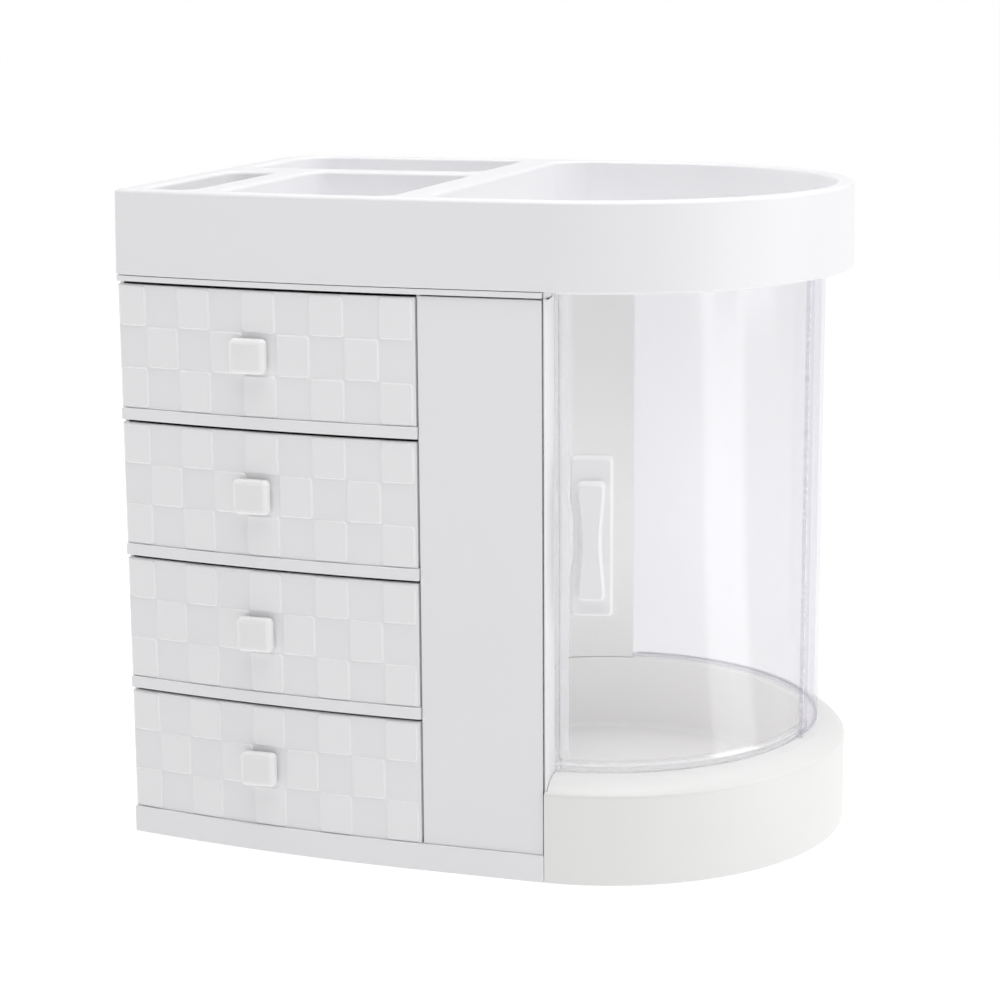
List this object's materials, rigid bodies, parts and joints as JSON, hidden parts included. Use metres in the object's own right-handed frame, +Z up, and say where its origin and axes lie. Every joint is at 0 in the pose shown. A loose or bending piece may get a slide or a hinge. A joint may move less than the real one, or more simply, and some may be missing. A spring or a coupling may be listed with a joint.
{
  "type": "brush holder with drawer",
  "caption": "Vanity organiser with a stack of bowed tiled drawers, a compartment tray on top and a round brush chamber behind a clear sliding door.",
  "frame": {"origin": "centre of the body's footprint, on the underside that it stands on", "axes": "+X to the round brush chamber, -Y to the drawer fronts, +Z up"},
  "size_m": [0.34, 0.2474, 0.325],
  "materials": {
    "white_plastic": "satin",
    "milky_plastic": "satin, slightly milky",
    "clear_plastic": "clear, polished"
  },
  "bodies": {
    "housing": {"base_plinth": "white_plastic", "base_ring": "white_plastic", "cabinet_shell": "white_plastic", "cabinet_top": "white_plastic", "shelf_1": "white_plastic", "shelf_2": "white_plastic", "shelf_3": "white_plastic", "blank_panel": "white_plastic", "front_post": "white_plastic", "chamber_wall": "white_plastic", "clear_back_panel": "clear_plastic", "top_tray": "white_plastic"},
    "drawer_1": {"drawer_box_1": "white_plastic", "drawer_front_1": "white_plastic", "knob_1": "milky_plastic"},
    "drawer_2": {"drawer_box_2": "white_plastic", "drawer_front_2": "white_plastic", "knob_2": "milky_plastic"},
    "drawer_3": {"drawer_box_3": "white_plastic", "drawer_front_3": "white_plastic", "knob_3": "milky_plastic"},
    "drawer_4": {"drawer_box_4": "white_plastic", "drawer_front_4": "white_plastic", "knob_4": "milky_plastic"},
    "door": {"sliding_door": "clear_plastic", "door_handle": "white_plastic"}
  },
  "joints": [
    {"name": "drawer_1_slide", "type": "slide", "parent": "housing", "child": "drawer_1", "axis": [0, -1, 0], "range_m": [0, 0.15]},
    {"name": "drawer_2_slide", "type": "slide", "parent": "housing", "child": "drawer_2", "axis": [0, -1, 0], "range_m": [0, 0.15]},
    {"name": "drawer_3_slide", "type": "slide", "parent": "housing", "child": "drawer_3", "axis": [0, -1, 0], "range_m": [0, 0.15]},
    {"name": "drawer_4_slide", "type": "slide", "parent": "housing", "child": "drawer_4", "axis": [0, -1, 0], "range_m": [0, 0.15]},
    {"name": "door_turn", "type": "hinge", "parent": "housing", "child": "door", "pos_m": [0.0475, 0, 0], "axis": [0, 0, 1], "range_deg": [0, 62]}
  ]
}
